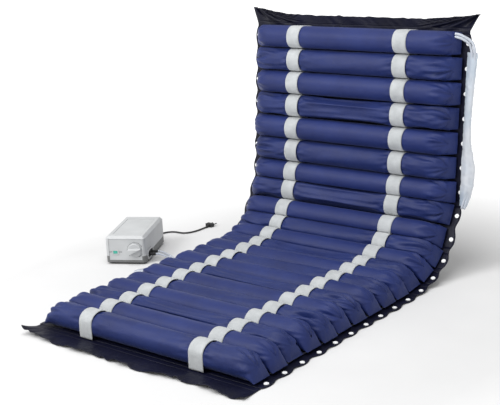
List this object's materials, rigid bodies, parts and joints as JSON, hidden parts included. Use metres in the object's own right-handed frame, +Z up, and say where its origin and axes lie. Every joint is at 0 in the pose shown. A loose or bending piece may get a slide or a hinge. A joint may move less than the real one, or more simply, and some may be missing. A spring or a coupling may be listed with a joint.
{
  "type": "pressure relief mattress",
  "caption": "Alternating pressure mattress of tubular air cells on a folding base sheet, back section raised, with its air pump, hoses and mains cord.",
  "frame": {"origin": "centre of the underside of the mattress's flat section, on the surface it lies on", "axes": "+Z up, +Y towards the head end along the mattress, +X to the right seen from the foot end; the back section is raised at rest"},
  "size_m": [1.3182, 1.283, 0.8716],
  "materials": {
    "cell_fabric": "coated nylon, satin",
    "sheet_fabric": "coated nylon, dull",
    "webbing": "woven tape",
    "stud_plastic": "moulded",
    "clear_hose": "clear vinyl",
    "cover_plastic": "moulded, fine texture",
    "base_plastic": "moulded, fine texture",
    "black_rubber": "moulded",
    "rocker_green": "translucent",
    "steel": "zinc plated",
    "copper": "enamelled wire",
    "magnet_arm": "coated",
    "board_green": "lacquered board",
    "disc_plastic": "acetal"
  },
  "bodies": {
    "flat_section": {"cells_a_flat": "cell_fabric", "cells_b_flat": "cell_fabric", "base_sheet_flat": "sheet_fabric", "strap_loops_flat": "webbing", "snap_studs_flat": "stud_plastic", "air_hoses_flat": "clear_hose", "pump_base": "base_plastic", "pump_cover": "cover_plastic", "front_panel": "cover_plastic", "pressure_valve": "base_plastic", "switch_body": "cover_plastic", "outlet_ring": "cover_plastic", "air_nozzles": "base_plastic", "rubber_feet": "black_rubber", "cover_screws": "steel", "hanger_brackets": "base_plastic", "compressor_core": "steel", "compressor_coils": "copper", "diaphragms": "black_rubber", "valve_chambers": "base_plastic", "distributor_motor": "base_plastic", "circuit_board": "board_green", "internal_tubes": "clear_hose", "hose_connectors": "black_rubber", "supply_hose": "clear_hose", "power_cord": "black_rubber", "mains_plug": "black_rubber"},
    "bend_1": {"cells_bend_1": "cell_fabric", "strap_loops_bend_1": "webbing", "snap_studs_bend_1": "stud_plastic", "base_sheet_bend_1": "sheet_fabric"},
    "bend_2": {"cells_bend_2": "cell_fabric", "strap_loops_bend_2": "webbing", "snap_studs_bend_2": "stud_plastic", "base_sheet_bend_2": "sheet_fabric"},
    "bend_3": {"cells_bend_3": "cell_fabric", "strap_loops_bend_3": "webbing", "snap_studs_bend_3": "stud_plastic", "base_sheet_bend_3": "sheet_fabric"},
    "bend_4": {"cells_bend_4": "cell_fabric", "strap_loops_bend_4": "webbing", "snap_studs_bend_4": "stud_plastic", "base_sheet_bend_4": "sheet_fabric"},
    "back_section": {"cells_a_back": "cell_fabric", "cells_b_back": "cell_fabric", "base_sheet_back": "sheet_fabric", "strap_loops_back": "webbing", "snap_studs_back": "stud_plastic", "air_hoses_back": "clear_hose", "hose_sleeve": "clear_hose"},
    "head_flap": {"head_flap": "sheet_fabric"},
    "foot_flap": {"foot_flap": "sheet_fabric"},
    "pressure_knob": {"pressure_knob": "cover_plastic", "knob_shaft": "steel"},
    "power_rocker": {"power_rocker": "rocker_green"},
    "bed_hanger": {"bed_hanger": "steel"},
    "armature": {"armature": "magnet_arm"},
    "distributor_disc": {"distributor_disc": "disc_plastic"}
  },
  "joints": [
    {"name": "fold_1", "type": "hinge", "parent": "flat_section", "child": "bend_1", "pos_m": [0, 0.415, 0.00075], "axis": [1, 0, 0], "range_deg": [-6.5, 0]},
    {"name": "fold_2", "type": "hinge", "parent": "bend_1", "child": "bend_2", "pos_m": [0, 0.49747, 0.01015], "axis": [1, 0, 0], "range_deg": [-13.5, 0]},
    {"name": "fold_3", "type": "hinge", "parent": "bend_2", "child": "bend_3", "pos_m": [0, 0.57546, 0.03853], "axis": [1, 0, 0], "range_deg": [-17.5, 0]},
    {"name": "fold_4", "type": "hinge", "parent": "bend_3", "child": "bend_4", "pos_m": [0, 0.64131, 0.08906], "axis": [1, 0, 0], "range_deg": [-23, 0]},
    {"name": "fold_5", "type": "hinge", "parent": "bend_4", "child": "back_section", "pos_m": [0, 0.72305, 0.23354], "axis": [1, 0, 0], "range_deg": [-23.5, 0]},
    {"name": "head_flap_fold", "type": "hinge", "parent": "back_section", "child": "head_flap", "pos_m": [0, 0.78378, 0.81136], "axis": [1, 0, 0], "range_deg": [-80, 0]},
    {"name": "foot_flap_fold", "type": "hinge", "parent": "flat_section", "child": "foot_flap", "pos_m": [0, -0.415, 0.00075], "axis": [-1, 0, 0], "range_deg": [0, 80]},
    {"name": "knob_turn", "type": "hinge", "parent": "flat_section", "child": "pressure_knob", "pos_m": [-0.59601, 0.18991, 0.054], "axis": [0.4695, -0.8829, 0], "range_deg": [-70, 210]},
    {"name": "rocker_tip", "type": "hinge", "parent": "flat_section", "child": "power_rocker", "pos_m": [-0.66238, 0.15711, 0.046], "axis": [0, 0, 1], "range_deg": [-14, 0]},
    {"name": "hanger_swing", "type": "hinge", "parent": "flat_section", "child": "bed_hanger", "pos_m": [-0.75455, 0.41141, 0.084], "axis": [0.8829, 0.4695, 0], "range_deg": [0, 88]},
    {"name": "armature_stroke", "type": "slide", "parent": "flat_section", "child": "armature", "axis": [-0.4695, 0.8829, 0], "range_m": [-0.0015, 0.0015]},
    {"name": "disc_turn", "type": "hinge", "parent": "flat_section", "child": "distributor_disc", "pos_m": [-0.65206, 0.23995, 0], "axis": [0, 0, 1], "continuous": true}
  ],
  "couplings": [
    {"joint": "fold_1", "follows": "fold_5", "ratio": 0.2766},
    {"joint": "fold_2", "follows": "fold_5", "ratio": 0.57447},
    {"joint": "fold_3", "follows": "fold_5", "ratio": 0.74468},
    {"joint": "fold_4", "follows": "fold_5", "ratio": 0.97872}
  ]
}
